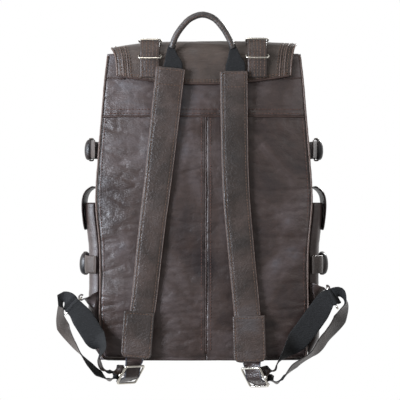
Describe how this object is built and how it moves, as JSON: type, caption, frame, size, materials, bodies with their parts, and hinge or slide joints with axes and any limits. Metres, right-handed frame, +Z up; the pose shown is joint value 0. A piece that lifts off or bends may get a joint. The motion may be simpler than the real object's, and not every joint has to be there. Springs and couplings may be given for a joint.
{
  "type": "leather backpack",
  "caption": "Soft leather flap backpack with two shoulder straps, a rolled haul handle, side and front pockets, and strap buckles that meet corner rings.",
  "frame": {"origin": "where a hook holds the haul handle: the underside of the handle at its top, above the middle of the bag", "axes": "+Z up, +Y towards the front (flap and front pocket) side, shoulder straps on the -Y side, +X to the right seen from the straps side"},
  "size_m": [0.4107, 0.1955, 0.5286],
  "materials": {
    "leather": "waxed pull-up leather, semi-matt, worn edges",
    "strap_leather": "strap leather with turned, lighter edges",
    "webbing": "woven black webbing",
    "lining_cloth": "plain woven lining",
    "pad_foam": "closed-cell foam padding",
    "board": "fibre board",
    "metal": "pale gold-nickel plating, polished"
  },
  "bodies": {
    "root": {"back_panel_left": "leather", "back_panel_right": "leather", "back_yoke": "leather", "front_panel": "leather", "gusset_left": "leather", "gusset_right": "leather", "base_panel": "leather", "base_board": "board", "back_pad": "pad_foam", "lining": "lining_cloth", "flap_back": "leather", "flap_tab_left": "strap_leather", "flap_tab_right": "strap_leather", "front_pocket": "leather", "side_pocket_left": "leather", "side_strap_upper_left": "strap_leather", "side_buckle_upper_left": "metal", "side_strap_lower_left": "strap_leather", "side_buckle_lower_left": "metal", "side_pocket_right": "leather", "side_strap_upper_right": "strap_leather", "side_buckle_upper_right": "metal", "side_strap_lower_right": "strap_leather", "side_buckle_lower_right": "metal", "strap_anchor_left": "webbing", "strap_anchor_right": "webbing", "corner_tab_left": "webbing", "adjuster_strap_left": "webbing", "corner_tab_right": "webbing", "adjuster_strap_right": "webbing"},
    "flap_lid": {"flap_lid": "leather", "flap_strap_left": "strap_leather", "flap_strap_right": "strap_leather", "front_buckle_left": "metal", "front_buckle_right": "metal"},
    "front_pocket_flap": {"front_pocket_flap": "leather"},
    "handle": {"handle": "strap_leather", "handle_webbing_left": "webbing", "handle_webbing_right": "webbing"},
    "front_prong_left": {"front_prong_left": "metal"},
    "side_flap_left": {"side_flap_left": "leather"},
    "flap_loop_upper_left": {"flap_loop_upper_left": "metal"},
    "flap_loop_lower_left": {"flap_loop_lower_left": "metal"},
    "shoulder_strap_left": {"shoulder_strap_left": "strap_leather", "strap_patch_left": "strap_leather", "strap_tongue_left": "strap_leather"},
    "strap_buckle_left": {"strap_buckle_left": "metal", "buckle_pin_left": "metal"},
    "corner_ring_left": {"corner_ring_left": "metal"},
    "front_prong_right": {"front_prong_right": "metal"},
    "side_flap_right": {"side_flap_right": "leather"},
    "flap_loop_upper_right": {"flap_loop_upper_right": "metal"},
    "flap_loop_lower_right": {"flap_loop_lower_right": "metal"},
    "shoulder_strap_right": {"shoulder_strap_right": "strap_leather", "strap_patch_right": "strap_leather", "strap_tongue_right": "strap_leather"},
    "strap_buckle_right": {"strap_buckle_right": "metal", "buckle_pin_right": "metal"},
    "corner_ring_right": {"corner_ring_right": "metal"}
  },
  "joints": [
    {"name": "flap_lid_hinge", "type": "hinge", "parent": "root", "child": "flap_lid", "pos_m": [0, 0.0342, -0.0235], "axis": [1, 0, 0], "range_deg": [0, 105]},
    {"name": "front_pocket_flap_hinge", "type": "hinge", "parent": "root", "child": "front_pocket_flap", "pos_m": [0, 0.154, -0.2428], "axis": [1, 0, 0], "range_deg": [0, 70]},
    {"name": "handle_swing", "type": "hinge", "parent": "root", "child": "handle", "pos_m": [0, 0.0041, -0.0671], "axis": [1, 0, 0], "range_deg": [-5, 60]},
    {"name": "side_flap_left_hinge", "type": "hinge", "parent": "root", "child": "side_flap_left", "pos_m": [-0.1592, 0.078, -0.2347], "axis": [0, 1, 0], "range_deg": [0, 95]},
    {"name": "front_prong_left_hinge", "type": "hinge", "parent": "flap_lid", "child": "front_prong_left", "pos_m": [-0.076, 0.16209, -0.15006], "axis": [1, 0, 0], "range_deg": [0, 60]},
    {"name": "flap_loop_upper_left_swing", "type": "hinge", "parent": "root", "child": "flap_loop_upper_left", "pos_m": [-0.076, 0.02365, -0.03173], "axis": [-1, 0, 0], "range_deg": [0, 60]},
    {"name": "flap_loop_lower_left_swing", "type": "hinge", "parent": "root", "child": "flap_loop_lower_left", "pos_m": [-0.076, 0.0083, -0.05161], "axis": [-1, 0, 0], "range_deg": [0, 60]},
    {"name": "shoulder_strap_left_swing", "type": "hinge", "parent": "root", "child": "shoulder_strap_left", "pos_m": [-0.0467, 0.0021, -0.07], "axis": [-1, 0, 0], "range_deg": [0, 12], "deforming": ["adjuster_strap_left"]},
    {"name": "strap_buckle_left_turn", "type": "hinge", "parent": "shoulder_strap_left", "child": "strap_buckle_left", "pos_m": [-0.1029, 0.005, -0.5004], "axis": [0.8189, 0.5731, -0.0292], "range_deg": [0, 8], "deforming": ["adjuster_strap_left"]},
    {"name": "corner_ring_left_turn", "type": "hinge", "parent": "root", "child": "corner_ring_left", "pos_m": [-0.17248, 0.014, -0.39241], "axis": [0, 1, 0], "range_deg": [0, 5], "deforming": ["adjuster_strap_left"]},
    {"name": "side_flap_right_hinge", "type": "hinge", "parent": "root", "child": "side_flap_right", "pos_m": [0.1592, 0.078, -0.2347], "axis": [0, -1, 0], "range_deg": [0, 95]},
    {"name": "front_prong_right_hinge", "type": "hinge", "parent": "flap_lid", "child": "front_prong_right", "pos_m": [0.07407, 0.16209, -0.15006], "axis": [1, 0, 0], "range_deg": [0, 60]},
    {"name": "flap_loop_upper_right_swing", "type": "hinge", "parent": "root", "child": "flap_loop_upper_right", "pos_m": [0.075, 0.02364, -0.03053], "axis": [-1, 0, 0], "range_deg": [0, 60]},
    {"name": "flap_loop_lower_right_swing", "type": "hinge", "parent": "root", "child": "flap_loop_lower_right", "pos_m": [0.075, 0.00828, -0.0509], "axis": [-1, 0, 0], "range_deg": [0, 60]},
    {"name": "shoulder_strap_right_swing", "type": "hinge", "parent": "root", "child": "shoulder_strap_right", "pos_m": [0.0416, 0.0021, -0.075], "axis": [-1, 0, 0], "range_deg": [0, 12], "deforming": ["adjuster_strap_right"]},
    {"name": "strap_buckle_right_turn", "type": "hinge", "parent": "shoulder_strap_right", "child": "strap_buckle_right", "pos_m": [0.0715, 0.0036, -0.5038], "axis": [0.831, -0.5502, 0.0816], "range_deg": [0, 8], "deforming": ["adjuster_strap_right"]},
    {"name": "corner_ring_right_turn", "type": "hinge", "parent": "root", "child": "corner_ring_right", "pos_m": [0.17398, 0.01985, -0.38002], "axis": [-0.157, -0.9367, 0.3129], "range_deg": [0, 5], "deforming": ["adjuster_strap_right"]}
  ]
}
